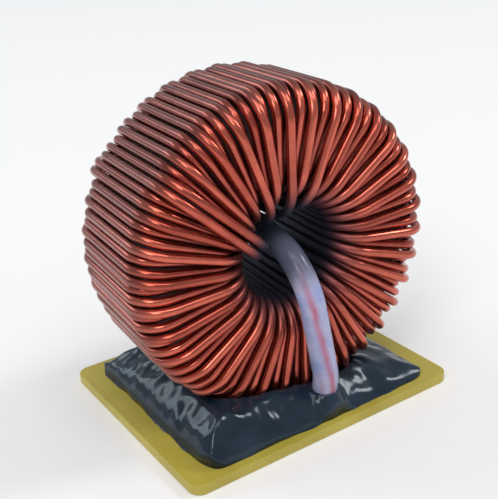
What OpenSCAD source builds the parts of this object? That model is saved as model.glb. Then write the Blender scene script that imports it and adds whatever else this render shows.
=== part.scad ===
// Toroidal inductor, standing on edge on a base board.
// A coated powder core carries a two-strand winding of enamelled copper wire.
// Each winding end is a sleeved pair of strands that runs down through the board
// and ends in two solder pins. A bed of adhesive holds the wheel on the board.
// Millimetres, +Z up. The origin is the middle of the board's underside.
// The wheel's axis is close to Y, and its front face looks towards -Y.

/* [Base board] */
// Width of the board, along X
board_w = 50; // [46:1:60]
// Depth of the board, along Y
board_d = 40; // [38:1:50]
// Thickness of the board
board_t = 1.6; // [1:0.1:2.4]
// Radius of the board's corners
board_corner_r = 2; // [1:0.5:4]
// Clearance round a strand where it passes through the board
slot_fit = 0.15; // [0.1:0.05:0.3]

/* [Core] */
// Outer diameter of the bare core
core_od = 46.7; // [44:0.1:48]
// Diameter of the bare core's hole
core_id = 24.1; // [23:0.1:26]
// Height of the bare core, along its axis
core_h = 18; // [16:0.5:19]
// Thickness of the insulating coat on the core
core_coat = 0.2; // [0.1:0.05:0.4]
// Radius of the coated core's edges
core_edge_r = 1.5; // [1:0.1:2]

/* [Wire] */
// Diameter of one strand over its enamel
wire_d = 1.4; // [1.2:0.05:1.5]
// Smallest gap between neighbouring strands on the outside of the wheel
wire_gap = 0.07; // [0.05:0.01:0.1]
// Gap between one layer of wire and the next
layer_gap = 0.02; // [0.01:0.01:0.06]
// Gap between the first layer of wire and the core
core_gap = 0.05; // [0.03:0.01:0.1]
// How far the stiff wire stands off the core's outside
outer_standoff = 0.75; // [0.6:0.05:1]
// How far the strands of neighbouring layers differ in radius on the outside
outer_stagger = 0.15; // [0.05:0.05:0.2]
// Turn of the wire about the axis on its way in over the front face, in degrees
front_sweep = 4.5; // [0:0.5:6]
// How far the slack strands hang into the top of the hole
hang = 2.4; // [0:0.2:2.6]

/* [Wheel on its board] */
// Where the wheel's centre stands, along Y
wheel_y = -0.5; // [-1:0.1:1]
// Turn of the wheel about the vertical, in degrees
wheel_turn = -4; // [-6:1:6]
// Gap between the lowest strand and the board
seat_gap = 0.05; // [0.02:0.01:0.2]

/* [Leads] */
// Outer diameter of a lead's sleeve
sleeve_od = 4; // [3.9:0.1:4.2]
// Wall of a lead's sleeve
sleeve_wall = 0.4; // [0.3:0.05:0.42]
// Distance of each strand of a lead from the middle of its sleeve
pair_half = 0.86; // [0.84:0.01:0.88]
// Distance of a lead's pair of pins from the board's middle, along X
pin_x = 2; // [0:0.5:4]
// Distance between the two pins of a lead
pin_pitch = 2.54; // [2.3:0.01:2.8]
// Diameter of a solder pin, where the strand is stripped and tinned
pin_d = 1.3; // [1.1:0.05:1.35]
// Length of the solder pins below the board
pin_len = 3; // [2:0.5:5]
// Gap between a lead and the winding's faces
lead_gap = 0.6; // [0.5:0.1:1]
// Radius of the arch in which a lead leaves the hole
arch_r = 8; // [6:0.5:9]

/* [Adhesive] */
// Width of the adhesive on the board, along X
bed_w = 43; // [40:1:45]
// Depth of the adhesive on the board, along Y
bed_d = 37; // [36:0.5:38]
// Height of the adhesive at its high side, -X
bed_h_left = 6; // [4:0.5:8]
// Height of the adhesive at its low side, +X
bed_h_right = 3; // [2:0.5:5]
// Gap between the adhesive and what is bedded in it
bed_gap = 0.08; // [0.05:0.01:0.12]

/* [Hidden] */
$fn = 48;

// A bend is a hair fatter than the straight runs, and each run ends inside its bends
bend_fat = 0.02;
run_in = 0.1;

// Layers of wire: heights at the hole and at the outer rim, radii in the hole and on the outside, bends.
// Towards the outer rim the layers come closer, because the strands lie side by side there
layers = 3;
layer_pitch = wire_d + layer_gap;
first_face = core_h / 2 + core_coat + core_gap + wire_d / 2;
first_leg = core_id / 2 - core_coat - core_gap - wire_d / 2;
outer_leg = core_od / 2 + core_coat + outer_standoff + wire_d / 2;
inner_bend = core_edge_r + wire_d / 2;
rim_drop = 0.25;
rim_pitch = 0.67 * layer_pitch;
function face_y(layer) = first_face + layer * layer_pitch;
function rim_y(layer) = face_y(layers - 1) - rim_drop - (layers - 1 - layer) * rim_pitch;
outer_bend = inner_bend + outer_standoff + rim_y(0) - face_y(0);
outer_bend_step = 0.6;
function leg_r(layer) = first_leg - layer * layer_pitch;
function outer_r(layer) = outer_leg + (layer - 1) * outer_stagger;
function bend_in(layer) = inner_bend + layer * layer_pitch;
function bend_out(layer) = outer_bend + layer * outer_bend_step;

// As many turns as the outside and the innermost layer can take, in whole sets of layers
outer_room = 2 * PI * outer_leg / (wire_d + wire_gap);
hole_room = layers * 2 * PI * leg_r(layers - 1) / layer_pitch;
turns = layers * floor(min(outer_room, hole_room) / 2 / layers);
wires = 2 * turns;
step = 360 / wires;

// Uneven gaps between the strands on the outside, which add up to the room there is
function scatter(w) = let (v = 43.7 * sin(77.7 * w)) v - floor(v);
gap_shares = [for (w = [0 : wires - 1]) pow(scatter(w), 1.5)];
share_sum = gap_shares * [for (w = [1 : wires]) 1];
gap_room = 2 * PI * outer_leg - wires * (wire_d + wire_gap);
pitches = [for (g = gap_shares) wire_d + wire_gap + gap_room * g / share_sum];
seam = 148;
outer_angles = [for (w = 0, a = seam; w < wires; a = a + pitches[w] / outer_leg * 180 / PI, w = w + 1) a];
function outer_angle(w) = outer_angles[w % wires];

// Both halves are wound from the middle of the wire, so that their layers follow in opposite order.
// In the hole one place between the halves stays empty
function layer_of(w) = w < turns ? w % layers : ((layers - 1) * w + 1) % layers;
function inner_angle(w) = seam + (w < turns ? w : w + 1) * step + front_sweep;

// Slack strands reach further into the hole round its top
hang_middle = 460;
hang_spread = 1.6;
function hang_share(a) = let (b = hang_spread * (a - hang_middle)) abs(b) < 90 ? cos(b) * cos(b) : 0;
function hangs(w) = w % (2 * layers) == layers - 1;
function hole_r(w) = leg_r(layer_of(w)) - (hangs(w) ? hang * hang_share(inner_angle(w)) : 0);

// Points of the wheel in the part's frame, by X, Y and Z about its centre, or by radius and angle
envelope_r = outer_r(layers - 1) + wire_d / 2;
envelope_y = face_y(layers - 1) + wire_d / 2;
wheel_z = board_t + seat_gap + envelope_r;
function in_part(p) = [
    p[0] * cos(wheel_turn) - p[1] * sin(wheel_turn),
    p[0] * sin(wheel_turn) + p[1] * cos(wheel_turn) + wheel_y,
    p[2] + wheel_z];
function on_wheel(r, a, y) = in_part([r * cos(a), y, r * sin(a)]);

// The winding's two ends cross the faces on top of the layers, and pass through the hole
end_face = face_y(layers);
end_bend = bend_out(layers);
end_hole_bend = 6;
first_hole = [1, end_face, 3];
last_hole = [-5.1, -end_face, 1.4];

// Corners of the two leads, from the hole down to the pins
lead_y = envelope_y + abs(wheel_y) + sleeve_od / 2 + lead_gap;
tuck = 1.9;
tuck_rise = 6.6;
tuck_r = 8;
pin_y = lead_y - tuck;
lead_lean = 0.8;
arch_lean = 4.5;
arch_rise = 0.4;
front_arch = [pin_x - arch_lean, -lead_y, wheel_z + arch_rise];
rear_arch = [in_part([last_hole[0], lead_y, 0])[0], lead_y, wheel_z + last_hole[2]];
front_tuck = [pin_x - lead_lean, -lead_y, board_t + tuck_rise];
rear_tuck = [lead_lean - pin_x, lead_y, board_t + tuck_rise];
front_lead = [[front_arch, arch_r], [front_tuck, tuck_r]];
rear_lead = [[rear_arch, arch_r], [rear_tuck, tuck_r]];

// Below its sleeve a lead's pair spreads to the pitch of the pins, at the fork, and turns down at the foot
fork_rise = 1.7;
fork_r = 2;
foot_rise = 0.8;
foot_r = 1.5;
sleeve_rise = 2.15;
front_foot = [pin_x, -pin_y, board_t + foot_rise];
rear_foot = [-pin_x, pin_y, board_t + foot_rise];
function on_foot_line(top, foot, rise) = foot + (top - foot) * (rise - foot_rise) / (tuck_rise - foot_rise);

// The enamel ends inside the board, and the strand tapers to its solder pin
strip_z = 0.5;
strip_len = 0.6;
front_pin = [pin_x, -pin_y, strip_z];
rear_pin = [-pin_x, pin_y, strip_z];

// A strand's place beside its twin: in the lead, at the pins, and across the run that it takes over a face
function beside(s) = [(s == 0 ? 1 : -1) * pair_half, 0, 0];
function apart(s) = [(s == 0 ? 1 : -1) * pin_pitch / 2, 0, 0];
function across(s, from, a) =
    let (run = [outer_leg * cos(a) - from[0], outer_leg * sin(a) - from[2]], u = run / norm(run))
    (s == 0 ? 1 : -1) * pair_half * [u[1], 0, -u[0]];

// One strand from its front pin to its rear pin, as corner points with their bend radii
function lead_path(s, lead) = [for (c = lead) [c[0] + beside(s), c[1]]];
function foot_path(s, top, foot, pin) = [
    [on_foot_line(top, foot, fork_rise) + beside(s), fork_r],
    [foot + apart(s), foot_r],
    [pin + apart(s), 0]];
function reversed(list) = [for (i = [len(list) - 1 : -1 : 0]) list[i]];
function turn_path(w) = let (k = layer_of(w), n = w + 2) [
    [on_wheel(outer_r(k), outer_angle(w), -rim_y(k)), bend_out(k)],
    [on_wheel(hole_r(w), inner_angle(w), -face_y(k)), bend_in(k)],
    [on_wheel(hole_r(w), inner_angle(w), face_y(k)), bend_in(k)],
    [on_wheel(outer_r(layer_of(n)), outer_angle(n), rim_y(k)), bend_out(k)]];
function strand_path(s) = let (last = wires - 2 + s) concat(
    reversed(foot_path(s, front_tuck, front_foot, front_pin)),
    reversed(lead_path(s, front_lead)),
    [[in_part(first_hole + across(s, first_hole, seam)), end_hole_bend]],
    [[on_wheel(outer_r(layer_of(s)), outer_angle(s), end_face), end_bend]],
    [for (t = [0 : turns - 2]) each turn_path(2 * t + s)],
    [[on_wheel(outer_r(layer_of(last)), outer_angle(last), -end_face), end_bend]],
    [[in_part(last_hole + across(s, last_hole, seam - step)), end_hole_bend]],
    lead_path(s, rear_lead),
    foot_path(s, rear_tuck, rear_foot, rear_pin));

// Round bar along a path of corner points, with a bend at each corner
function unit(v) = v / norm(v);
function heading(path, i) = unit(path[i + 1][0] - path[i][0]);
function turned(path, i) = acos(heading(path, i - 1) * heading(path, i));
function is_end(path, i) = i == 0 || i == len(path) - 1;
function setback(path, i) = is_end(path, i) ? 0 : path[i][1] * tan(turned(path, i) / 2);
function reach(path, i) = is_end(path, i) ? 0 : setback(path, i) - run_in;

module run(a, b, d) {
    v = b - a;
    translate(a) rotate([0, acos(v[2] / norm(v)), atan2(v[1], v[0])]) cylinder(h = norm(v), d = d);
}

module bend(path, i, d) {
    a = heading(path, i - 1);
    b = heading(path, i);
    n = unit(b - (a * b) * a);
    z = cross(-n, a);
    c = path[i][0] - a * setback(path, i) + n * path[i][1];
    multmatrix([for (r = [0 : 2]) [-n[r], a[r], z[r], c[r]]])
        rotate_extrude(angle = turned(path, i)) translate([path[i][1], 0]) circle(d = d);
}

module bent_bar(path, d) {
    last = len(path) - 1;
    for (i = [0 : last - 1])
        run(path[i][0] + heading(path, i) * reach(path, i),
            path[i + 1][0] - heading(path, i) * reach(path, i + 1), d);
    for (i = [1 : last - 1])
        bend(path, i, d + bend_fat);
}

// Outlines: a rectangle with round corners, and a mound that falls off to both ends
function arc(c, r, from, to, n = 6) = [for (i = [0 : n])
    let (a = from + (to - from) * i / n) c + r * [cos(a), sin(a)]];
function round_box(w, d, r) = concat(
    arc([w / 2 - r, d / 2 - r], r, 0, 90), arc([r - w / 2, d / 2 - r], r, 90, 180),
    arc([r - w / 2, r - d / 2], r, 180, 270), arc([w / 2 - r, r - d / 2], r, 270, 360));
function mound(w, h_from, h_to, power, n = 24) = [for (i = [0 : n])
    let (s = -cos(180 * i / n), h = h_from + (h_to - h_from) * (s + 1) / 2)
    [s * w / 2, h * pow(max(0, 1 - pow(abs(s), power)), 1 / power)]];

module pin_holes(pin) {
    for (s = [0, 1])
        translate(pin + apart(s)) cylinder(h = 3 * board_t, d = wire_d + 2 * slot_fit, center = true);
}

// The sleeve's middle line: from half way through the hole to just above the lead's fork
sleeve_start = 0.5;
bore_start = 0.45;
function sleeve_path(hole, lead, start, low) = concat(
    [[hole * (1 - start) + lead[0][0] * start, 0]], lead, [[low, 0]]);
function front_sleeve(start, rise) =
    sleeve_path(in_part(first_hole), front_lead, start, on_foot_line(front_tuck, front_foot, rise));
function rear_sleeve(start, rise) =
    sleeve_path(in_part(last_hole), rear_lead, start, on_foot_line(rear_tuck, rear_foot, rise));

module sleeve(path, through) {
    difference() {
        bent_bar(path, sleeve_od);
        bent_bar(through, sleeve_od - 2 * sleeve_wall);
    }
}

// A strand is stripped at both ends, where a short taper leads to the thinner solder pin
module strand(s) {
    bent_bar(strand_path(s), wire_d);
    for (pin = [front_pin, rear_pin])
        translate(pin + apart(s)) {
            translate([0, 0, -strip_len]) cylinder(h = strip_len, d1 = pin_d, d2 = wire_d);
            translate([0, 0, -strip_z - pin_len]) cylinder(h = pin_len + strip_z, d = pin_d);
        }
}

// Everything that the winding takes up, as one disc with round rims
module envelope(gap) {
    rim = bend_out(layers - 1) + wire_d / 2 + gap;
    r = envelope_r + gap;
    y = envelope_y + gap;
    translate([0, wheel_y, wheel_z]) rotate([0, 0, wheel_turn]) rotate([90, 0, 0])
        rotate_extrude() polygon(concat([[0, -y]],
            arc([r - rim, rim - y], rim, -90, 0, 14), arc([r - rim, y - rim], rim, 0, 90, 14), [[0, y]]));
}

module base_board() {
    color("goldenrod")
        difference() {
            linear_extrude(board_t) polygon(round_box(board_w, board_d, board_corner_r));
            for (pin = [front_pin, rear_pin])
                pin_holes(pin);
        }
}

module core() {
    r_in = core_id / 2 - core_coat;
    r_out = core_od / 2 + core_coat;
    h = core_h + 2 * core_coat;
    color([0.12, 0.12, 0.13])
        translate([0, wheel_y, wheel_z]) rotate([0, 0, wheel_turn]) rotate([90, 0, 0])
            rotate_extrude() translate([(r_in + r_out) / 2, 0])
                polygon(round_box(r_out - r_in, h, core_edge_r));
}

module strand_a() {
    color("sienna") strand(0);
}

module strand_b() {
    color("chocolate") strand(1);
}

module sleeve_front() {
    color("lightsteelblue") sleeve(front_sleeve(sleeve_start, sleeve_rise), front_sleeve(bore_start, 0));
}

module sleeve_rear() {
    color("lightsteelblue") sleeve(rear_sleeve(sleeve_start, sleeve_rise), rear_sleeve(bore_start, 0));
}

// The end of a strand that is bedded in the adhesive, from just inside its sleeve
function bedded_path(s, top, foot, pin) =
    concat([[on_foot_line(top, foot, sleeve_rise + wire_d) + beside(s), 0]], foot_path(s, top, foot, pin));

// Adhesive that has climbed the foot of a sleeve
collar_h = 4;
collar_spread = 0.75;
module collar(top, foot) {
    middle = on_foot_line(top, foot, sleeve_rise + collar_h / 2);
    translate([middle[0], middle[1], board_t])
        cylinder(h = collar_h, d1 = sleeve_od + 2 * collar_spread, d2 = sleeve_od + collar_spread);
}

module adhesive_bed() {
    bed_corner_r = 3;
    side_h = 13;
    color([0.1, 0.13, 0.17])
        difference() {
            union() {
                translate([0, 0, board_t]) intersection() {
                    linear_extrude(side_h) polygon(round_box(bed_w, bed_d, bed_corner_r));
                    rotate([90, 0, 0]) linear_extrude(bed_d, center = true)
                        polygon(mound(bed_w, bed_h_left, bed_h_right, 6));
                    rotate([90, 0, 90]) linear_extrude(bed_w, center = true)
                        polygon(mound(bed_d, side_h, side_h, 1.2));
                }
                collar(front_tuck, front_foot);
                collar(rear_tuck, rear_foot);
            }
            envelope(bed_gap);
            bent_bar(front_sleeve(sleeve_start, sleeve_rise - bed_gap), sleeve_od + 2 * bed_gap);
            bent_bar(rear_sleeve(sleeve_start, sleeve_rise - bed_gap), sleeve_od + 2 * bed_gap);
            for (s = [0, 1]) {
                bent_bar(bedded_path(s, front_tuck, front_foot, front_pin), wire_d + 2 * bed_gap);
                bent_bar(bedded_path(s, rear_tuck, rear_foot, rear_pin), wire_d + 2 * bed_gap);
            }
        }
}

base_board();
core();
strand_a();
strand_b();
sleeve_front();
sleeve_rear();
adhesive_bed();
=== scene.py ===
# %% [markdown]
# # Dressing a toroidal inductor
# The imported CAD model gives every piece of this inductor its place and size: a base board, a ring
# core, two strands of enamelled copper wire, two sleeves of soft tubing and a mound of adhesive.
# This lesson gives those pieces their looks. Nothing is fitted by eye, because the CAD model and
# this scene share one frame in metres.

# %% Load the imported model
import math

import bmesh
import bpy
import numpy as np
from mathutils import Matrix, Vector, noise


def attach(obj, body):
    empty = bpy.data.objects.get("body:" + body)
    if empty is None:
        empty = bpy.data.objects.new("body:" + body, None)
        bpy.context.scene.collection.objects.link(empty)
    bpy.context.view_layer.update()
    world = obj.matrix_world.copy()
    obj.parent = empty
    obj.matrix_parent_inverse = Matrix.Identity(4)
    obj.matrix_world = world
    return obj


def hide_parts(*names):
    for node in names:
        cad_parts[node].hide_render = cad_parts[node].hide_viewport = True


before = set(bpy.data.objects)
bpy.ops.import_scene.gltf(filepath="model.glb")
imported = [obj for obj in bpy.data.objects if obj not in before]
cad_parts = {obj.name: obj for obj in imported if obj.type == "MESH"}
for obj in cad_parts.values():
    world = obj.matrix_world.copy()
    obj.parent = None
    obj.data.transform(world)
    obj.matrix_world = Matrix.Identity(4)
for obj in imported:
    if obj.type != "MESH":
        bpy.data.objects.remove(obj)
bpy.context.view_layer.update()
MM = 0.001
print("nodes", sorted(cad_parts))

# %% [markdown]
# ## The camera
# The photograph was taken from the front left and a little above. A camera can be placed by trial,
# but here its angles were solved from the board's corners and the winding's outline, so they are
# written as numbers. The small lens shift is what the photograph's framing has.

# %% Place the camera
AZIMUTH, ELEVATION, ROLL = (math.radians(a) for a in (-33.82, 22.14, -2.5))
AIM = Vector((-0.12, 0, 27.17)) * MM
DISTANCE = 136.5 * MM
NEAREST = 10 * MM
FRAME_PX = 499
FOCAL_PX = 853.9
AXIS_PX = (3.8, -16.7)
SENSOR_MM = 36

back = Vector((math.sin(AZIMUTH) * math.cos(ELEVATION),
               -math.cos(AZIMUTH) * math.cos(ELEVATION),
               math.sin(ELEVATION)))
level = (-back).cross(Vector((0, 0, 1))).normalized()
upright = level.cross(-back)
right = math.cos(ROLL) * level + math.sin(ROLL) * upright
up = math.cos(ROLL) * upright - math.sin(ROLL) * level
camera_axes = Matrix((right, up, back)).transposed().to_4x4()

camera_data = bpy.data.cameras.new("camera")
camera_data.sensor_width = SENSOR_MM
camera_data.lens = FOCAL_PX / FRAME_PX * SENSOR_MM
camera_data.shift_x = -AXIS_PX[0] / FRAME_PX
camera_data.shift_y = AXIS_PX[1] / FRAME_PX
camera_data.clip_start = NEAREST
camera = bpy.data.objects.new("camera", camera_data)
camera.matrix_world = Matrix.Translation(AIM + back * DISTANCE) @ camera_axes
bpy.context.scene.collection.objects.link(camera)
bpy.context.scene.camera = camera
print("lens", round(camera_data.lens, 1), "mm at", round(DISTANCE / MM), "mm")

# %% [markdown]
# ## The floor
# A product photograph of this kind is taken on a white sweep. It could be built with its curve, but
# one wide pale floor is enough here, because the camera looks down on it and never sees its end.

# %% Lay the floor
FLOOR_HALF = 4
FLOOR_DROP = 0.05 * MM


def link_object(name, data):
    made = bpy.data.objects.new(name, data)
    bpy.context.scene.collection.objects.link(made)
    return made


def new_material(name):
    material = bpy.data.materials.new(name)
    material.use_nodes = True
    return material, material.node_tree, material.node_tree.nodes["Principled BSDF"]


floor_signs = ((-1, -1), (1, -1), (1, 1), (-1, 1))
floor_corners = [(x * FLOOR_HALF, y * FLOOR_HALF, -FLOOR_DROP) for x, y in floor_signs]
floor_mesh = bpy.data.meshes.new("floor")
floor_mesh.from_pydata(floor_corners, [], [(0, 1, 2, 3)])
floor = link_object("floor", floor_mesh)
floor_paper, _, floor_bsdf = new_material("floor_paper")
floor_bsdf.inputs["Base Color"].default_value = (0.95, 0.95, 0.95, 1)
floor_bsdf.inputs["Roughness"].default_value = 0.9
floor_mesh.materials.append(floor_paper)
print("floor", 2 * FLOOR_HALF, "m wide")

# %% [markdown]
# ## Light
# Large soft lamps light such a photograph. Four far area lamps stand in for them here: a long strip
# overhead and a smaller box at the front left, which draw a glint on every bend of the wire, a key
# from the right, and a broad one behind on the left, which whitens what is seen at a low angle.
# Lamps close by would do as well for the object, but far ones light the floor evenly.

# %% Hang the lamps
WHEEL_MIDDLE = Vector((0, 0, 0.027))

scene = bpy.context.scene
scene.view_settings.view_transform = "Standard"
world = bpy.data.worlds.new("studio")
world.use_nodes = True
sky = world.node_tree.nodes["Background"]
sky.inputs["Color"].default_value = (0.93, 0.96, 1, 1)
sky.inputs["Strength"].default_value = 0.5
scene.world = world


def softbox(name, place, size, watts, colour):
    """A far area lamp that looks at the middle of the wheel."""
    lamp = bpy.data.lights.new(name, "AREA")
    lamp.shape = "RECTANGLE"
    lamp.size, lamp.size_y = size
    lamp.energy = watts
    lamp.color = colour
    made = link_object(name, lamp)
    made.location = place
    made.rotation_euler = (WHEEL_MIDDLE - Vector(place)).to_track_quat("-Z", "Y").to_euler()


softbox("strip_softbox", place=(-0.5, -0.75, 2.4), size=(3, 0.8), watts=20, colour=(1, 0.98, 0.96))
softbox("key_softbox", place=(2, -0.7, 1.9), size=(0.7, 0.7), watts=17, colour=(1, 0.98, 0.95))
softbox("back_softbox", place=(-1.3, 2.1, 1.3), size=(1.6, 0.9), watts=12, colour=(0.9, 0.96, 1))
softbox("front_softbox", place=(-1.9, -1.2, 1.9), size=(0.9, 0.9), watts=16, colour=(1, 0.98, 0.96))

# %% [markdown]
# ## Effects that several finishes share
# Enamel, adhesive, laminate and tubing all vary a little over their surface. Each could get its own
# noise nodes, but three node groups, built once, keep the finishes alike in kind and different only
# in their values: mottling of colour, unevenness of gloss, and fine relief.

# %% Helpers for nodes, and the mottling
FLOAT, COLOUR, VECTOR = "NodeSocketFloat", "NodeSocketColor", "NodeSocketVector"
MIX_FACTOR, MIX_FIRST, MIX_SECOND, MIX_RESULT = 0, 6, 7, 2


def node_group(name, inputs, outputs):
    """An empty group with its sockets: the group, its input node and its output node."""
    group = bpy.data.node_groups.new(name, "ShaderNodeTree")
    for label, kind, value in inputs:
        socket = group.interface.new_socket(name=label, in_out="INPUT", socket_type=kind)
        if value is not None:
            socket.default_value = value
    for label, kind in outputs:
        group.interface.new_socket(name=label, in_out="OUTPUT", socket_type=kind)
    return group, group.nodes.new("NodeGroupInput"), group.nodes.new("NodeGroupOutput")


def feed(tree, socket, source):
    """Link a source to a socket, or set the socket where the source is a plain value."""
    if isinstance(source, bpy.types.NodeSocket):
        tree.links.new(source, socket)
    else:
        socket.default_value = source


def add(tree, kind, links=(), **values):
    """A new node of a kind, with its settings made and its sockets fed."""
    node = tree.nodes.new(kind)
    for key, value in values.items():
        setattr(node, key, value)
    for socket, source in links:
        feed(tree, node.inputs[socket], source)
    return node


def mix_colours(tree, factor, first, second, blend="MIX"):
    node = add(tree, "ShaderNodeMix", data_type="RGBA", blend_type=blend)
    for socket, source in ((MIX_FACTOR, factor), (MIX_FIRST, first), (MIX_SECOND, second)):
        feed(tree, node.inputs[socket], source)
    return node.outputs[MIX_RESULT]


def noise_node(tree, vector, scale, detail, rough):
    return add(tree, "ShaderNodeTexNoise",
               [("Vector", vector), ("Scale", scale), ("Detail", detail), ("Roughness", rough)])


mottle, mottle_in, mottle_out = node_group(
    "mottle",
    [("Vector", VECTOR, None), ("Scale", FLOAT, 300.0),
     ("Dark", COLOUR, (0, 0, 0, 1)), ("Light", COLOUR, (1, 1, 1, 1))],
    [("Colour", COLOUR)])
cloud = noise_node(mottle, mottle_in.outputs["Vector"], mottle_in.outputs["Scale"],
                   detail=4.0, rough=0.55)
spread = add(mottle, "ShaderNodeMapRange",
             [("Value", cloud.outputs["Fac"]), ("From Min", 0.32), ("From Max", 0.68)])
mottled = mix_colours(mottle, spread.outputs["Result"],
                      mottle_in.outputs["Dark"], mottle_in.outputs["Light"])
mottle.links.new(mottled, mottle_out.inputs["Colour"])
print("group", mottle.name, "with", len(mottle.nodes), "nodes")

# %% Uneven gloss and fine relief
gloss, gloss_in, gloss_out = node_group(
    "uneven_gloss",
    [("Vector", VECTOR, None), ("Scale", FLOAT, 200.0), ("Smooth", FLOAT, 0.2), ("Rough", FLOAT, 0.4)],
    [("Roughness", FLOAT)])
patches = noise_node(gloss, gloss_in.outputs["Vector"], gloss_in.outputs["Scale"],
                     detail=3.0, rough=0.6)
even = add(gloss, "ShaderNodeMapRange",
           [("Value", patches.outputs["Fac"]), ("From Min", 0.3), ("From Max", 0.7),
            ("To Min", gloss_in.outputs["Smooth"]), ("To Max", gloss_in.outputs["Rough"])])
gloss.links.new(even.outputs["Result"], gloss_out.inputs["Roughness"])

relief, relief_in, relief_out = node_group(
    "fine_relief",
    [("Vector", VECTOR, None), ("Scale", FLOAT, 1000.0), ("Depth", FLOAT, 0.00002)],
    [("Normal", VECTOR)])
ripples = noise_node(relief, relief_in.outputs["Vector"], relief_in.outputs["Scale"],
                     detail=3.0, rough=0.5)
bumped = add(relief, "ShaderNodeBump",
             [("Distance", relief_in.outputs["Depth"]), ("Height", ripples.outputs["Fac"])])
relief.links.new(bumped.outputs["Normal"], relief_out.inputs["Normal"])
print("groups", [g.name for g in bpy.data.node_groups])

# %% [markdown]
# A finish is one material with the three effects placed in it. Each could be put together by hand in
# the shader editor, but one function keeps them alike. The first is the simplest: the bright tin on
# the pins, where the enamel has been stripped from the wire.

# %% A finish from the shared effects, and the tin
def place_group(tree, group, **values):
    node = add(tree, "ShaderNodeGroup")
    node.node_tree = group
    for label, value in values.items():
        feed(tree, node.inputs[label], value)
    return node


def finish(name, dark, light, mottle_scale, smooth, rough, gloss_scale, relief_scale, relief_mm,
           metallic=0.0):
    """A finish with the three effects: its material, node tree, shader and mottled colour."""
    material, tree, bsdf = new_material(name)
    point = add(tree, "ShaderNodeTexCoord").outputs["Object"]
    colour = place_group(tree, mottle, Vector=point, Scale=mottle_scale,
                         Dark=(*dark, 1), Light=(*light, 1))
    shine = place_group(tree, gloss, Vector=point, Scale=gloss_scale, Smooth=smooth, Rough=rough)
    bump = place_group(tree, relief, Vector=point, Scale=relief_scale, Depth=relief_mm * MM)
    tree.links.new(colour.outputs["Colour"], bsdf.inputs["Base Color"])
    tree.links.new(shine.outputs["Roughness"], bsdf.inputs["Roughness"])
    tree.links.new(bump.outputs["Normal"], bsdf.inputs["Normal"])
    bsdf.inputs["Metallic"].default_value = metallic
    return material, tree, bsdf, colour.outputs["Colour"]


tin, _, _, _ = finish(
    "tinned_copper", dark=(0.5, 0.49, 0.47), light=(0.72, 0.71, 0.69), mottle_scale=900.0,
    smooth=0.25, rough=0.5, gloss_scale=700.0, relief_scale=1500.0, relief_mm=0.02, metallic=1.0)
print("finish", tin.name)

# %% [markdown]
# ## The winding's path
# The wire is stiff: it runs straight, and turns at the core's rims in plain arcs. The winding could
# be drawn as a curve with hand-set handles, but the CAD model already has a rule for it, so the same
# rule is repeated here: three layers, two strands wound side by side, uneven gaps on the outside, and
# both ends brought out through the hole.

# %% Sizes of the winding, in millimetres
WIRE_D, WIRE_GAP, LAYER_GAP, CORE_GAP = 1.4, 0.07, 0.02, 0.05
CORE_OD, CORE_ID, CORE_H, CORE_COAT, CORE_EDGE = 46.7, 24.1, 18, 0.2, 1.5
STANDOFF, STAGGER, FRONT_SWEEP, HANG = 0.75, 0.15, 4.5, 2.4
BOARD_T = 1.6
WHEEL_Y, WHEEL_TURN, SEAT_GAP = -0.5, math.radians(-4), 0.05
LAYERS, TURNS, SEAM = 3, 51, 148
WIRES = 2 * TURNS
LAYER_PITCH = WIRE_D + LAYER_GAP
OUTER_LEG = CORE_OD / 2 + CORE_COAT + STANDOFF + WIRE_D / 2
INNER_BEND = CORE_EDGE + WIRE_D / 2
RIM_DROP, RIM_PITCH, OUTER_BEND_STEP = 0.25, 0.67 * LAYER_PITCH, 0.6


def face_y(layer):
    return CORE_H / 2 + CORE_COAT + CORE_GAP + WIRE_D / 2 + layer * LAYER_PITCH


def rim_y(layer):
    return face_y(LAYERS - 1) - RIM_DROP - (LAYERS - 1 - layer) * RIM_PITCH


OUTER_BEND = INNER_BEND + STANDOFF + rim_y(0) - face_y(0)


def leg_r(layer):
    return CORE_ID / 2 - CORE_COAT - CORE_GAP - WIRE_D / 2 - layer * LAYER_PITCH


def outer_r(layer):
    return OUTER_LEG + (layer - 1) * STAGGER


def bend_in(layer):
    return INNER_BEND + layer * LAYER_PITCH


def bend_out(layer):
    return OUTER_BEND + layer * OUTER_BEND_STEP


ENVELOPE_R = outer_r(LAYERS - 1) + WIRE_D / 2
ENVELOPE_Y = face_y(LAYERS - 1) + WIRE_D / 2
RIM_R = bend_out(LAYERS - 1) + WIRE_D / 2
WHEEL_Z = BOARD_T + SEAT_GAP + ENVELOPE_R
print("wheel centre at z", round(WHEEL_Z, 2), "mm, outer radius", round(ENVELOPE_R, 2), "mm")

# %% [markdown]
# The wheel stands on its edge, turned a little on the board. Hand winding leaves uneven gaps on the
# outside, and a few slack turns hang into the top of the hole. A plain rule of sines scatters the
# gaps, so that every run gives the same ones.

# %% Places on the wheel
SCATTER_GAIN, SCATTER_STEP, SHARE_POWER = 43.7, 77.7, 1.5
SLACK_MIDDLE, SLACK_NARROWING = 460, 1.6


def in_part(x, y, z):
    """A place given from the wheel's middle, with y along its axle, in the part's own frame."""
    return np.array([x * math.cos(WHEEL_TURN) - y * math.sin(WHEEL_TURN),
                     x * math.sin(WHEEL_TURN) + y * math.cos(WHEEL_TURN) + WHEEL_Y, z + WHEEL_Z])


def on_wheel(r, angle, y):
    """A place at a radius and an angle round the wheel, and y along its axle."""
    return in_part(r * math.cos(math.radians(angle)), y, r * math.sin(math.radians(angle)))


def scatter(w):
    """A share from 0 to 1 that jumps about as w counts up."""
    return SCATTER_GAIN * math.sin(math.radians(SCATTER_STEP * w)) % 1.0


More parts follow.
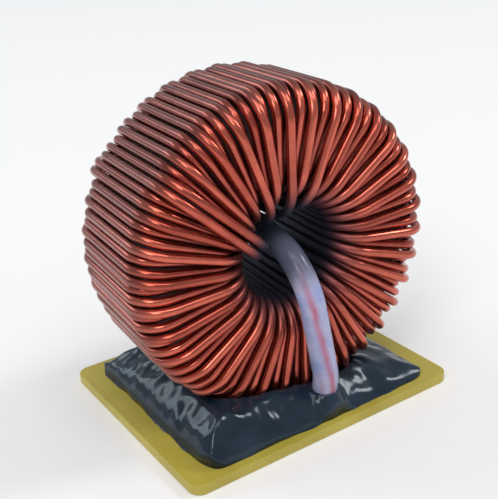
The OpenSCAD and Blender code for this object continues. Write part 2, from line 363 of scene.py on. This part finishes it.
shares = [scatter(w) ** SHARE_POWER for w in range(WIRES)]
spare = 2 * math.pi * OUTER_LEG - WIRES * (WIRE_D + WIRE_GAP)
outer_angles = [SEAM]
for share in shares[:-1]:
    pitch = WIRE_D + WIRE_GAP + spare * share / sum(shares)
    outer_angles.append(outer_angles[-1] + math.degrees(pitch / OUTER_LEG))


def layer_of(w):
    """Layer of wire w: in the winding's two halves the layers follow in opposite order."""
    return w % LAYERS if w < TURNS else ((LAYERS - 1) * w + 1) % LAYERS


def inner_angle(w):
    return SEAM + (w if w < TURNS else w + 1) * 360 / WIRES + FRONT_SWEEP


def hole_r(w):
    """Radius at which wire w goes through the hole, less where it hangs slack."""
    swing = SLACK_NARROWING * (inner_angle(w) - SLACK_MIDDLE)
    hangs = abs(swing) < 90 and w % (2 * LAYERS) == LAYERS - 1
    slack = HANG * math.cos(math.radians(swing)) ** 2 if hangs else 0
    return leg_r(layer_of(w)) - slack


print("turns", TURNS, "with", round(spare, 1), "mm to spare round the outside")

# %% [markdown]
# Each strand is one unbroken wire. Its corners are listed in order from the front pin to the rear
# pin, each with the radius of its bend, and the leads take the same corners for the sleeves that
# cover them.

# %% Corners of the leads
SLEEVE_OD, SLEEVE_WALL, PAIR_HALF = 4, 0.4, 0.86
PIN_X, PIN_D, PIN_LEN, PIN_PITCH = 2, 1.3, 3, 2.54
STRIP_Z, STRIP_LEN = 0.5, 0.6
END_FACE, END_BEND, END_HOLE_BEND = face_y(LAYERS), bend_out(LAYERS), 6
LEAD_BEND, FORK_BEND, FOOT_BEND = 8, 2, 1.5
LEAD_CLEAR, PIN_INSET, TUCK_LEAN = 0.6, 1.9, 0.8
FRONT_ARCH_X, FRONT_ARCH_RISE = -2.5, 0.4
TUCK_RISE, FORK_RISE, FOOT_RISE, SLEEVE_RISE = 6.6, 1.7, 0.8, 2.15
FIRST_HOLE, LAST_HOLE = (1, END_FACE, 3), (-5.1, -END_FACE, 1.4)
LEAD_Y = ENVELOPE_Y + abs(WHEEL_Y) + SLEEVE_OD / 2 + LEAD_CLEAR
PIN_Y = LEAD_Y - PIN_INSET
FRONT_ARCH = np.array([FRONT_ARCH_X, -LEAD_Y, WHEEL_Z + FRONT_ARCH_RISE])
REAR_ARCH = np.array([in_part(LAST_HOLE[0], LEAD_Y, 0)[0], LEAD_Y, WHEEL_Z + LAST_HOLE[2]])
FRONT_TUCK = np.array([PIN_X - TUCK_LEAN, -LEAD_Y, BOARD_T + TUCK_RISE])
REAR_TUCK = np.array([TUCK_LEAN - PIN_X, LEAD_Y, BOARD_T + TUCK_RISE])
FRONT_FOOT = np.array([PIN_X, -PIN_Y, BOARD_T + FOOT_RISE])
REAR_FOOT = np.array([-PIN_X, PIN_Y, BOARD_T + FOOT_RISE])
FRONT_LEAD = [(FRONT_ARCH, LEAD_BEND), (FRONT_TUCK, LEAD_BEND)]
REAR_LEAD = [(REAR_ARCH, LEAD_BEND), (REAR_TUCK, LEAD_BEND)]
FRONT_PIN = np.array([PIN_X, -PIN_Y, STRIP_Z])
REAR_PIN = np.array([-PIN_X, PIN_Y, STRIP_Z])
print("leads stand", round(LEAD_Y, 2), "mm and pins", round(PIN_Y, 2), "mm from the middle")

# %% Corners of both strands
def beside(strand):
    """Step from the middle of a sleeve to a strand in it."""
    return np.array([PAIR_HALF if strand == 0 else -PAIR_HALF, 0, 0])


def apart(strand):
    """Step from the middle of a foot to a strand's pin."""
    return np.array([PIN_PITCH / 2 if strand == 0 else -PIN_PITCH / 2, 0, 0])


def on_foot_line(top, foot, rise):
    return foot + (top - foot) * (rise - FOOT_RISE) / (TUCK_RISE - FOOT_RISE)


def foot_corners(strand, top, foot, pin):
    return [(on_foot_line(top, foot, FORK_RISE) + beside(strand), FORK_BEND),
            (foot + apart(strand), FOOT_BEND),
            (pin + apart(strand), 0)]


def across(strand, hole, angle):
    """Step to a strand from the middle of the end pair, square to its run over the face."""
    run = np.array([OUTER_LEG * math.cos(math.radians(angle)) - hole[0],
                    OUTER_LEG * math.sin(math.radians(angle)) - hole[2]])
    run /= np.linalg.norm(run)
    return (1 if strand == 0 else -1) * PAIR_HALF * np.array([run[1], 0, -run[0]])


def turn_corners(w):
    """Four corners of a turn, each with its bend: front rim, both ends of the hole, rear rim."""
    layer, after = layer_of(w), w + 2
    return [(on_wheel(outer_r(layer), outer_angles[w], -rim_y(layer)), bend_out(layer)),
            (on_wheel(hole_r(w), inner_angle(w), -face_y(layer)), bend_in(layer)),
            (on_wheel(hole_r(w), inner_angle(w), face_y(layer)), bend_in(layer)),
            (on_wheel(outer_r(layer_of(after)), outer_angles[after], rim_y(layer)), bend_out(layer))]


def strand_corners(strand):
    last = WIRES - 2 + strand
    first_hole = np.array(FIRST_HOLE) + across(strand, FIRST_HOLE, SEAM)
    last_hole = np.array(LAST_HOLE) + across(strand, LAST_HOLE, SEAM - 360 / WIRES)
    corners = foot_corners(strand, FRONT_TUCK, FRONT_FOOT, FRONT_PIN)[::-1]
    corners += [(place + beside(strand), bend) for place, bend in reversed(FRONT_LEAD)]
    corners += [(in_part(*first_hole), END_HOLE_BEND)]
    corners += [(on_wheel(outer_r(layer_of(strand)), outer_angles[strand], END_FACE), END_BEND)]
    for turn in range(TURNS - 1):
        corners += turn_corners(2 * turn + strand)
    corners += [(on_wheel(outer_r(layer_of(last)), outer_angles[last], -END_FACE), END_BEND)]
    corners += [(in_part(*last_hole), END_HOLE_BEND)]
    corners += [(place + beside(strand), bend) for place, bend in REAR_LEAD]
    return corners + foot_corners(strand, REAR_TUCK, REAR_FOOT, REAR_PIN)


corner_lists = [strand_corners(strand) for strand in (0, 1)]
print("corners of the strands", [len(corners) for corners in corner_lists])

# %% [markdown]
# Corners alone would give a wire with kinks. A curve's handles could soften them, but a wire that is
# bent round a rim takes a plain arc, so an arc of the given radius joins each two runs.

# %% Round the corners
def rounded(corners, arc_step=9.0, run_step=4.0):
    """Points along the corners with an arc at each bend, and which corner each belongs to."""
    points, owners = [corners[0][0]], [0]

    def run_to(target, owner):
        start = points[-1]
        count = max(1, math.ceil(np.linalg.norm(target - start) / run_step))
        for i in range(1, count + 1):
            points.append(start + (target - start) * i / count)
            owners.append(owner)

    for i in range(1, len(corners) - 1):
        corner, bend = corners[i]
        before = corner - corners[i - 1][0]
        after = corners[i + 1][0] - corner
        before /= np.linalg.norm(before)
        after /= np.linalg.norm(after)
        turned = math.acos(max(-1.0, min(1.0, float(before @ after))))
        inward = after - (before @ after) * before
        inward /= np.linalg.norm(inward)
        setback = bend * math.tan(turned / 2)
        centre = corner - before * setback + inward * bend
        run_to(corner - before * setback, i)
        steps = max(2, math.ceil(math.degrees(turned) / arc_step))
        for k in range(1, steps + 1):
            angle = turned * k / steps
            points.append(centre - inward * bend * math.cos(angle) + before * bend * math.sin(angle))
            owners.append(i)
    run_to(corners[-1][0], len(corners) - 1)
    return np.array(points), np.array(owners)


strand_lines = [rounded(corners) for corners in corner_lists]
lengths = [np.linalg.norm(np.diff(line, axis=0), axis=1).sum() for line, _ in strand_lines]
print("strand lengths in mm", [round(float(length)) for length in lengths])

# %% [markdown]
# ## From a path to a round wire
# A bevelled curve object would also give a wire, but a mesh swept here can carry values along its
# length, which the enamel uses to tell one turn from the next. The rings turn as little as possible
# from point to point, so the surface has no twist.

# %% Sweep a tube along points
SLANT = (0.31, 0.87, 0.37)


def ring_frames(points):
    """Two normals at every point, carried along without twist from a slanted first one."""
    ahead = np.gradient(points, axis=0)
    ahead /= np.linalg.norm(ahead, axis=1)[:, None]
    side = np.cross(ahead[0], SLANT)
    side /= np.linalg.norm(side)
    sides = [side]
    for tangent in ahead[1:]:
        side = sides[-1] - (sides[-1] @ tangent) * tangent
        sides.append(side / np.linalg.norm(side))
    sides = np.array(sides)
    return sides, np.cross(ahead, sides)


def sweep(points, radii, sides_count):
    """Vertices of a tube round the points, ring by ring, in millimetres."""
    side, other = ring_frames(points)
    angles = np.arange(sides_count) * 2 * math.pi / sides_count
    ring = (np.cos(angles)[None, :, None] * side[:, None, :]
            + np.sin(angles)[None, :, None] * other[:, None, :])
    return points[:, None, :] + ring * np.asarray(radii)[:, None, None]


def smooth_mesh(name, verts, faces):
    mesh = bpy.data.meshes.new(name)
    mesh.from_pydata(verts, [], faces)
    mesh.polygons.foreach_set("use_smooth", [True] * len(faces))
    mesh.update()
    return mesh


def in_metres(points):
    return [tuple(v * MM) for v in points.reshape(-1, 3)]


def tube_mesh(name, rings):
    """A closed mesh from rings of vertices, with a flat cap at both ends."""
    count, sides_count, _ = rings.shape
    faces = []
    for i in range(count - 1):
        for k in range(sides_count):
            a, b = i * sides_count + k, i * sides_count + (k + 1) % sides_count
            faces.append((a, b, b + sides_count, a + sides_count))
    faces.append(tuple(range(sides_count - 1, -1, -1)))
    faces.append(tuple((count - 1) * sides_count + k for k in range(sides_count)))
    return smooth_mesh(name, in_metres(rings), faces)


def give_values(mesh, name, values):
    attribute = mesh.attributes.new(name, "FLOAT", "POINT")
    attribute.data.foreach_set("value", np.asarray(values, np.float32))


print("points to sweep along", [len(line) for line, _ in strand_lines])

# %% [markdown]
# ## Enamelled copper
# Magnet wire is drawn copper under a thin reddish enamel. The copper gives it a metal's dark gaps and
# coloured glints, and the enamel a clear coat on top. Turns differ a little in tone. A painted picture
# could show that, but a value in the mesh follows the wire through every bend, so each turn carries
# its own. Two more values are carried along, both for painted shade: one darkens the wire in the hole,
# at its mouth and under the top layer, where little light reaches, and one makes the wire on the
# outside of the ring darker and greyer than the lamps leave it.

# %% Enamel
# The last colour is a painted shade for the wire in the hole, at its mouth and under the top layer.
DEEPER_TONE, OUTER_SHADE, WINDING_SHADE_COLOUR = (0.62, 0.5, 0.5, 1), (0.34, 0.5, 0.63, 1), (0.045, 0.047, 0.072, 1)
SHADED_ROUGHNESS = 0.65
COAT_ON_FACES, COAT_OUTSIDE = 0.06, 0.36


def attribute_value(tree, name):
    """A value that the mesh carries under a name, as an output for other nodes."""
    return add(tree, "ShaderNodeAttribute", attribute_name=name).outputs["Fac"]


enamel, enamel_tree, enamel_bsdf, enamel_colour = finish(
    "copper_enamel", dark=(0.51, 0.115, 0.077), light=(0.71, 0.163, 0.107), mottle_scale=260.0,
    smooth=0.16, rough=0.27, gloss_scale=150.0, relief_scale=2600.0, relief_mm=0.0015, metallic=0.92)
turn_tone = attribute_value(enamel_tree, "turn_tone")
winding_shade = attribute_value(enamel_tree, "winding_shade")
outside = attribute_value(enamel_tree, "outside")
toned = mix_colours(enamel_tree, turn_tone, enamel_colour, DEEPER_TONE, "MULTIPLY")
# Painted shade: the outer legs are made darker and greyer than the lamps leave them.
outer_shaded = mix_colours(enamel_tree, outside, toned, OUTER_SHADE, "MULTIPLY")
# Painted shade: the wire is darkened where it lies deep in the winding, out of the light.
winding_shaded = mix_colours(enamel_tree, winding_shade, outer_shaded, WINDING_SHADE_COLOUR)
enamel_tree.links.new(winding_shaded, enamel_bsdf.inputs["Base Color"])
drawn_gloss = enamel_bsdf.inputs["Roughness"].links[0].from_socket
dulled = add(enamel_tree, "ShaderNodeMapRange",
             [("Value", winding_shade), ("To Min", drawn_gloss), ("To Max", SHADED_ROUGHNESS)])
enamel_tree.links.new(dulled.outputs["Result"], enamel_bsdf.inputs["Roughness"])
clear = add(enamel_tree, "ShaderNodeMapRange",
            [("Value", outside), ("To Min", COAT_ON_FACES), ("To Max", COAT_OUTSIDE)])
enamel_tree.links.new(clear.outputs["Result"], enamel_bsdf.inputs["Coat Weight"])
enamel_bsdf.inputs["Coat Roughness"].default_value = 0.32
enamel_bsdf.inputs["Coat IOR"].default_value = 1.5
print("finish", enamel.name, "with", len(enamel_tree.nodes), "nodes")

# %% [markdown]
# ## Both strands
# A strand's ends are stripped, tinned and a little thinner, and serve as the pins. They could be
# pieces of their own, but the real wire goes through in one, so each strand is one mesh with two
# materials. Where the values lie follows from each point's distance from the wheel's axis and from
# its middle.

# %% Ends and values of a strand, in millimetres
WIRE_SIDES, CORNERS_A_TURN = 14, 4
PIN_TIP = ((0.35, 1), (0.15, 0.9), (0.04, 0.6), (0, 0.2))
# Where the painted shade lies: in the hole, at its mouth for the ends, and fainter under the top
# layer.
HOLE_R, HOLE_R_RUN, HOLE_Y, HOLE_Y_RUN = 13.5, 2.5, 13.8, 5
MOUTH_R, MOUTH_R_RUN, MOUTH_INSET = 11.5, 3.5, 1.5
UNDER_R, UNDER_R_RUN, UNDER_Y, UNDER_Y_RUN, UNDER_SHARE = 22, 4, 12.3, 2.5, 0.45
# Where the painted shade on the outside of the ring lies.
OUTER_SHADE_R, OUTER_SHADE_R_RUN, OUTER_SHADE_Y, OUTER_SHADE_Y_RUN = 23.2, 2.6, 13, 3
TONE_STEP, TONE_START = 3, 11


def pin_end(place):
    """Points and radii of a stripped pin, from the end of the enamel to a rounded tip."""
    length = STRIP_Z + PIN_LEN
    drops = [0.0, STRIP_LEN] + [length - short for short, _ in PIN_TIP]
    widths = [WIRE_D / PIN_D, 1] + [width for _, width in PIN_TIP]
    return [place - np.array([0, 0, d]) for d in drops], [PIN_D / 2 * w for w in widths]


def below(values, end, run):
    """1 where the values are well below the end, falling to 0 at the end over the run."""
    return np.clip((end - values) / run, 0, 1)


def from_wheel(x, y):
    """How far a place of the part lies aside from the wheel's middle, and along its axle."""
    y = y - WHEEL_Y
    return (x * math.cos(WHEEL_TURN) + y * math.sin(WHEEL_TURN),
            y * math.cos(WHEEL_TURN) - x * math.sin(WHEEL_TURN))


def shade_in_winding(points):
    """How much painted shade each point gets, full in the hole, and how much it gets on the outside of
    the ring.
    """
    aside, along = from_wheel(points[:, 0], points[:, 1])
    along = np.abs(along)
    radius = np.hypot(aside, points[:, 2] - WHEEL_Z)
    inside = below(radius, HOLE_R, HOLE_R_RUN) * below(along, HOLE_Y, HOLE_Y_RUN)
    mouth = below(radius, MOUTH_R, MOUTH_R_RUN) * (along < LEAD_Y - MOUTH_INSET)
    under = below(radius, UNDER_R, UNDER_R_RUN) * below(along, UNDER_Y, UNDER_Y_RUN)
    outer_shading = below(-radius, -OUTER_SHADE_R, OUTER_SHADE_R_RUN) * below(along, OUTER_SHADE_Y, OUTER_SHADE_Y_RUN)
    return np.maximum(np.maximum(inside, mouth), UNDER_SHARE * under), outer_shading


def tone_of(strand, corner):
    """How much of the deeper tone the turn with this corner has."""
    return scatter(TONE_STEP * strand + (int(corner) + 1) // CORNERS_A_TURN + TONE_START) ** 2


print("tones of the first turns", [round(tone_of(0, CORNERS_A_TURN * turn), 2) for turn in range(5)])

# %% Make both strands
def make_strand(strand, name):
    points, owners = strand_lines[strand]
    front_points, front_radii = pin_end(FRONT_PIN + apart(strand))
    rear_points, rear_radii = pin_end(REAR_PIN + apart(strand))
    line = np.vstack([front_points[::-1], points[1:-1], rear_points])
    radii = front_radii[::-1] + [WIRE_D / 2] * (len(points) - 2) + rear_radii
    owners = [0] * len(front_points) + list(owners[1:-1]) + [owners[-1]] * len(rear_points)
    mesh = tube_mesh(name, sweep(line, radii, WIRE_SIDES))
    winding_shade_here, outside_here = shade_in_winding(line)
    tones = [tone_of(strand, owner) for owner in owners]
    give_values(mesh, "turn_tone", np.repeat(tones, WIRE_SIDES))
    give_values(mesh, "winding_shade", np.repeat(winding_shade_here, WIRE_SIDES))
    give_values(mesh, "outside", np.repeat(outside_here, WIRE_SIDES))
    mesh.materials.append(enamel)
    mesh.materials.append(tin)
    heights = np.array([p.center.z for p in mesh.polygons])
    mesh.polygons.foreach_set("material_index", (heights < STRIP_Z * MM).astype(int).tolist())
    piece = link_object(name, mesh)
    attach(piece, "root")
    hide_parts(name.replace("wire", "strand"))
    return piece


wires = [make_strand(0, "wire_a"), make_strand(1, "wire_b")]
print("wire faces", [len(w.data.polygons) for w in wires])

# %% [markdown]
# ## The core's coat
# Only thin dark slits between the strands show the core, a pressed ring in a semi-matt epoxy coat. It
# could be built again as a torus, but its CAD shape is right, so the node stays and gets its coat.

# %% Coat the core
core_coat, _, _, _ = finish(
    "core_epoxy", dark=(0.025, 0.025, 0.032), light=(0.05, 0.05, 0.06), mottle_scale=500.0,
    smooth=0.4, rough=0.6, gloss_scale=300.0, relief_scale=1800.0, relief_mm=0.03)
core_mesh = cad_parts["core"].data
core_mesh.materials.clear()
core_mesh.materials.append(core_coat)
print("core faces", len(core_mesh.polygons), "in", core_coat.name)

# %% [markdown]
# ## Sleeves
# The leads wear soft tubing, milky enough to hide the wire's colour in part. A solid rod would be
# quicker to make, but a tube with a real wall, outside, inside and both rims, lets light through it
# as the real one does. Where a strand is pressed against the wall its red shows, in a wavering streak
# along the front and a shorter one beside it, and a painted shade darkens the end that lies in the
# hole, where little light reaches.

# %% Tubing
# The second colour is a painted shade for the end of the tube that lies in the hole, out of the light.
FLUSH, TUBE_SHADE = (0.62, 0.16, 0.25, 1), (0.07, 0.078, 0.115, 1)

tubing, tubing_tree, tubing_bsdf, tubing_colour = finish(
    "milky_tubing", dark=(0.40, 0.47, 0.80), light=(0.68, 0.67, 0.90), mottle_scale=260.0,
    smooth=0.2, rough=0.3, gloss_scale=180.0, relief_scale=500.0, relief_mm=0.0005)
tubing_bsdf.inputs["Transmission Weight"].default_value = 0.3
tubing_bsdf.inputs["IOR"].default_value = 1.42
near_wire = attribute_value(tubing_tree, "near_wire")
in_hole = attribute_value(tubing_tree, "in_hole")
flushed = mix_colours(tubing_tree, near_wire, tubing_colour, FLUSH)
tube_shaded = mix_colours(tubing_tree, in_hole, flushed, TUBE_SHADE)
tubing_tree.links.new(tube_shaded, tubing_bsdf.inputs["Base Color"])
print("finish", tubing.name, "with", len(tubing_tree.nodes), "nodes")

# %% Make both sleeves
SLEEVE_SIDES, SLEEVE_ARC_STEP, SLEEVE_RUN_STEP = 36, 6.0, 1.2
BORE_EASE = 0.04
STREAK_TOP, STREAK_LEN, STREAK_GROWTH = 28, 22, 4
STREAK_AT, STREAK_DRIFT, STREAK_WIDTH, STREAK_SWAY = -0.8, 0.75, 0.24, 0.15
STREAK_RED, STREAK_RED_VARIES = 0.9, 0.4
SHORT_DELAY, SHORT_AT, SHORT_WIDTH, SHORT_RED = 3, -1.0, 0.2, 0.45
WANDER_X, WANDER_Y, WANDER_LEN = 5.1, 2.3, 2.5
# From this height up the tube takes its painted shade, up to the given share.
TUBE_SHADE_FROM, TUBE_SHADE_OVER, TUBE_SHADE_MOST = 23.6, 3, 0.85


def sleeve_corners(hole, lead, foot):
    start = (in_part(*hole) + lead[0][0]) / 2
    return [(start, 0)] + lead + [(on_foot_line(lead[-1][0], foot, SLEEVE_RISE), 0)]


def band(off, width):
    return math.exp(-(off / width) ** 2)


def streak(spot, middle):
    """How much of a strand's red shows at a spot of the wall: most along its outward side."""
    outward = math.copysign(1, middle[1])
    aside = math.atan2(spot[0] - middle[0], outward * (spot[1] - middle[1]))
    wander = noise.noise(Vector((WANDER_X, WANDER_Y, middle[2] / WANDER_LEN)))
    down = (STREAK_TOP - middle[2]) / STREAK_LEN
    off = aside - STREAK_SWAY * wander
    long_one = min(1, max(0, STREAK_GROWTH * down))
    long_one *= band(off - STREAK_AT - STREAK_DRIFT * down, STREAK_WIDTH)
    short_one = min(1, max(0, STREAK_GROWTH * down - SHORT_DELAY)) * band(off - SHORT_AT, SHORT_WIDTH)
    return min(1.0, (STREAK_RED + STREAK_RED_VARIES * wander) * long_one + SHORT_RED * short_one)


def make_sleeve(name, hole, lead, foot):
    """A sleeve as one loop of rings: down its outside, and back up its bore."""
    line, _ = rounded(sleeve_corners(hole, lead, foot), SLEEVE_ARC_STEP, SLEEVE_RUN_STEP)
    bore_r = SLEEVE_OD / 2 - SLEEVE_WALL + BORE_EASE
    outer = sweep(line, np.full(len(line), SLEEVE_OD / 2), SLEEVE_SIDES)
    inner = sweep(line, np.full(len(line), bore_r), SLEEVE_SIDES)
    loop = np.concatenate([outer, inner[::-1]])
    faces = []
    for i in range(len(loop)):
        here, there = i * SLEEVE_SIDES, (i + 1) % len(loop) * SLEEVE_SIDES
        for k in range(SLEEVE_SIDES):
            m = (k + 1) % SLEEVE_SIDES
            faces.append((here + k, here + m, there + m, there + k))
    mesh = smooth_mesh(name, in_metres(loop), faces)
    middles = np.repeat(np.concatenate([line, line[::-1]]), SLEEVE_SIDES, axis=0)
    give_values(mesh, "near_wire", [streak(v, m) for v, m in zip(loop.reshape(-1, 3), middles)])
    # The painted shade grows toward the end of the tube in the hole.
    give_values(mesh, "in_hole", np.clip((middles[:, 2] - TUBE_SHADE_FROM) / TUBE_SHADE_OVER, 0, TUBE_SHADE_MOST))
    mesh.materials.append(tubing)
    piece = link_object(name, mesh)
    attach(piece, "root")
    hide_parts(name.replace("tubing", "sleeve"))
    return piece


sleeves = [make_sleeve("tubing_front", FIRST_HOLE, FRONT_LEAD, FRONT_FOOT),
           make_sleeve("tubing_rear", LAST_HOLE, REAR_LEAD, REAR_FOOT)]
print("sleeve faces", [len(s.data.polygons) for s in sleeves])

# %% [markdown]
# ## The adhesive
# The wheel is bedded in a thick dark adhesive that was poured, slumped and set. Its flanks rise from a
# low lip to the winding, steep on the left and in front, thin on the right and behind, and an arris
# shows where two flanks meet. A sculpted mesh would do, but here the surface is a height over the
# board: the lowest of the four flanks, a little blended, with lumps on top. It climbs the sleeves'
# feet in collars, and wets the lowest wires.

# %% Height of the adhesive over the board, in millimetres
BED_W, BED_D = 43, 37
TOP_LEFT, TOP_RIGHT, TOP_BLEND = 7.2, 3, 1.5
LIP_RUN, FLANK_BLEND, ARRIS_BLEND = 0.5, 0.6, 0.35
LEFT_LIP, LEFT_SLOPE, LEFT_EASING = 2.3, 0.95, 0.6
RIGHT_LIP, RIGHT_SLOPE = 1.2, 0.28
FRONT_LIP, FRONT_SLOPE, FRONT_STEEPENING = 0.8, 0.3, 0.95
BACK_LIP, BACK_SLOPE = 0.6, 0.7
LUMPS = ((4.2, 1.7, 0.7), (2.1, 8.1, 0.34), (0.9, 3.3, 0.06))
LUMPS_FULL_AT, LUMPS_RIGHT, LUMPS_MORE_LEFT = 2.5, 0.7, 0.3
COLLAR_H, COLLAR_R, COLLAR_RUN, COLLAR_POWER = 4, 4.5, 2.3, 1.3
COLLAR_X, COLLAR_Y = 0.77, 1.075
COLLAR_BLEND, COLLAR_EASE = 1.5, 0.05
WETTING, NO_WHEEL = 0.45, 99.0


def flank(inward, lip, slope):
    """Height of a flank at a distance inward of its foot: a rounded lip, then a plain slope."""
    return lip * (1 - math.exp(-max(inward, 0) / LIP_RUN)) + slope * max(inward, 0)


def soft_min(a, b, width):
    h = max(width - abs(a - b), 0) / width
    return min(a, b) - h * h * width / 4


def wheel_under(x, y):
    """Height of the winding's underside over the board's top at x, y, where there is any."""
    aside, along = from_wheel(x, y)
    over = abs(along) - (ENVELOPE_Y - RIM_R)
    rim = math.sqrt(max(RIM_R ** 2 - over ** 2, 0)) if over > 0 else RIM_R
    radius = ENVELOPE_R - RIM_R + rim
    if over > RIM_R or abs(aside) > radius:
        return NO_WHEEL
    return WHEEL_Z - BOARD_T - math.sqrt(radius ** 2 - aside ** 2)


def lumps(x, y):
    return sum(rise * noise.noise(Vector((x / size, y / size, seed))) for size, seed, rise in LUMPS)


def collar(x, y, foot):
    """Height of the adhesive that has climbed the foot of a sleeve, at x, y."""
    away = math.hypot(x - foot[0] * COLLAR_X, y - foot[1] * COLLAR_Y)
    return COLLAR_H * min(1, max(0, (COLLAR_R - away) / COLLAR_RUN)) ** COLLAR_POWER


def bed_height(x, y):
    from_left, from_right = BED_W / 2 + x, BED_W / 2 - x
    from_front, from_back = BED_D / 2 + y, BED_D / 2 - y
    leftness = from_right / BED_W
    left = flank(from_left, LEFT_LIP, LEFT_SLOPE - LEFT_EASING * from_front / BED_D)
    front = flank(from_front, FRONT_LIP + leftness, FRONT_SLOPE + FRONT_STEEPENING * leftness)
    ends = soft_min(left, flank(from_right, RIGHT_LIP, RIGHT_SLOPE), FLANK_BLEND)
    sides = soft_min(front, flank(from_back, BACK_LIP, BACK_SLOPE), FLANK_BLEND)
    height = soft_min(ends, sides, ARRIS_BLEND)
    height = soft_min(height, TOP_RIGHT + (TOP_LEFT - TOP_RIGHT) * leftness, TOP_BLEND)
    lumpiness = min(1, height / LUMPS_FULL_AT) * (LUMPS_RIGHT + LUMPS_MORE_LEFT * leftness)
    height += lumps(x, y) * lumpiness
    for foot in (FRONT_FOOT, REAR_FOOT):
        climbed = collar(x, y, foot)
        height = -soft_min(-height, -climbed, COLLAR_EASE + min(climbed, COLLAR_BLEND))
    return max(0.0, min(height, wheel_under(x, y) + WETTING))


print("adhesive at the sleeve's foot", round(bed_height(FRONT_FOOT[0], FRONT_FOOT[1]), 1), "mm high")

# %% Mound of adhesive
BED_ROUND, BED_RINGS, BED_CROWDING, BED_SQUARENESS = 320, 70, 1.5, 14
BED_WAVES = ((3, 4.4, 0.02), (9, 2.2, 0.014))


def bed_outline(u):
    """Point of the wavy footprint at share u of its way round."""
    angle = 2 * math.pi * u
    c, s = math.cos(angle), math.sin(angle)
    reach = (abs(c) ** BED_SQUARENESS + abs(s) ** BED_SQUARENESS) ** (-1 / BED_SQUARENESS)
    wave = 1 + sum(rise * noise.noise(Vector((count * c, count * s, seed)))
                   for count, seed, rise in BED_WAVES)
    return np.array([BED_W / 2 * c * reach * wave, BED_D / 2 * s * reach * wave])


def make_bed(name):
    """A closed mesh of rings from the foot inward, crowded near the foot, with a flat underside."""
    foot = [bed_outline(i / BED_ROUND) for i in range(BED_ROUND)]
    verts, faces = [], []
    for ring in range(BED_RINGS):
        inward = (ring / BED_RINGS) ** BED_CROWDING
        for x, y in (p * (1 - inward) for p in foot):
            height = bed_height(x, y) if ring else 0.0
            verts.append((x * MM, y * MM, (BOARD_T + height) * MM))
    verts.append((0, 0, (BOARD_T + bed_height(0, 0)) * MM))
    for ring in range(BED_RINGS - 1):
        for i in range(BED_ROUND):
            a, b = ring * BED_ROUND + i, ring * BED_ROUND + (i + 1) % BED_ROUND
            faces.append((a, b, b + BED_ROUND, a + BED_ROUND))
    last = (BED_RINGS - 1) * BED_ROUND
    for i in range(BED_ROUND):
        faces.append((last + i, last + (i + 1) % BED_ROUND, len(verts) - 1))
    faces.append(tuple(range(BED_ROUND - 1, -1, -1)))
    return smooth_mesh(name, verts, faces)


bed_finish, _, bed_bsdf, _ = finish(
    "set_adhesive", dark=(0.006, 0.013, 0.023), light=(0.016, 0.03, 0.05), mottle_scale=160.0,
    smooth=0.09, rough=0.2, gloss_scale=130.0, relief_scale=420.0, relief_mm=0.02)
bed_bsdf.inputs["Specular IOR Level"].default_value = 0.38
bed_bsdf.inputs["Specular Tint"].default_value = (0.8, 0.93, 1, 1)
bed_mesh = make_bed("adhesive")
bed_mesh.materials.append(bed_finish)
bed = link_object("adhesive", bed_mesh)
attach(bed, "root")
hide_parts("adhesive_bed")
bed_top = max(v.co.z for v in bed_mesh.vertices) / MM
print("adhesive top", round(bed_top, 1), "mm, faces", len(bed_mesh.polygons))

# %% [markdown]
# ## The base board
# Bare epoxy glass laminate is yellow, cloudy and a little uneven in gloss. The CAD outline is kept,
# holes and all, and could be shown as it is, but a bevel breaks its edges, because a knife-sharp edge
# never catches the light.

# %% Laminate
SAME_SPOT = 1e-7
FLAT_ANGLE, SHARP_ANGLE = math.radians(1), math.radians(50)
EDGE_BREAK = 0.12 * MM

laminate, _, _, _ = finish(
    "epoxy_laminate", dark=(0.4, 0.325, 0.042), light=(0.52, 0.43, 0.07), mottle_scale=90.0,
    smooth=0.36, rough=0.5, gloss_scale=140.0, relief_scale=1400.0, relief_mm=0.01)
board_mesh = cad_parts["base_board"].data.copy()
board_piece = link_object("laminate_board", board_mesh)
shape = bmesh.new()
shape.from_mesh(board_mesh)
bmesh.ops.remove_doubles(shape, verts=shape.verts, dist=SAME_SPOT)
bmesh.ops.dissolve_limit(shape, angle_limit=FLAT_ANGLE, verts=shape.verts, edges=shape.edges)
sharp = [e for e in shape.edges if len(e.link_faces) == 2 and e.calc_face_angle() > SHARP_ANGLE]
bmesh.ops.bevel(shape, geom=sharp, offset=EDGE_BREAK, segments=2, profile=0.5, affect="EDGES")
shape.to_mesh(board_mesh)
shape.free()
board_mesh.materials.clear()
board_mesh.materials.append(laminate)
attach(board_piece, "root")
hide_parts("base_board")
print("board faces", len(board_mesh.polygons))

# %% [markdown]
# ## Finish
# At the end the view layer is brought up to date.

# %% Update the view layer
bpy.context.view_layer.update()
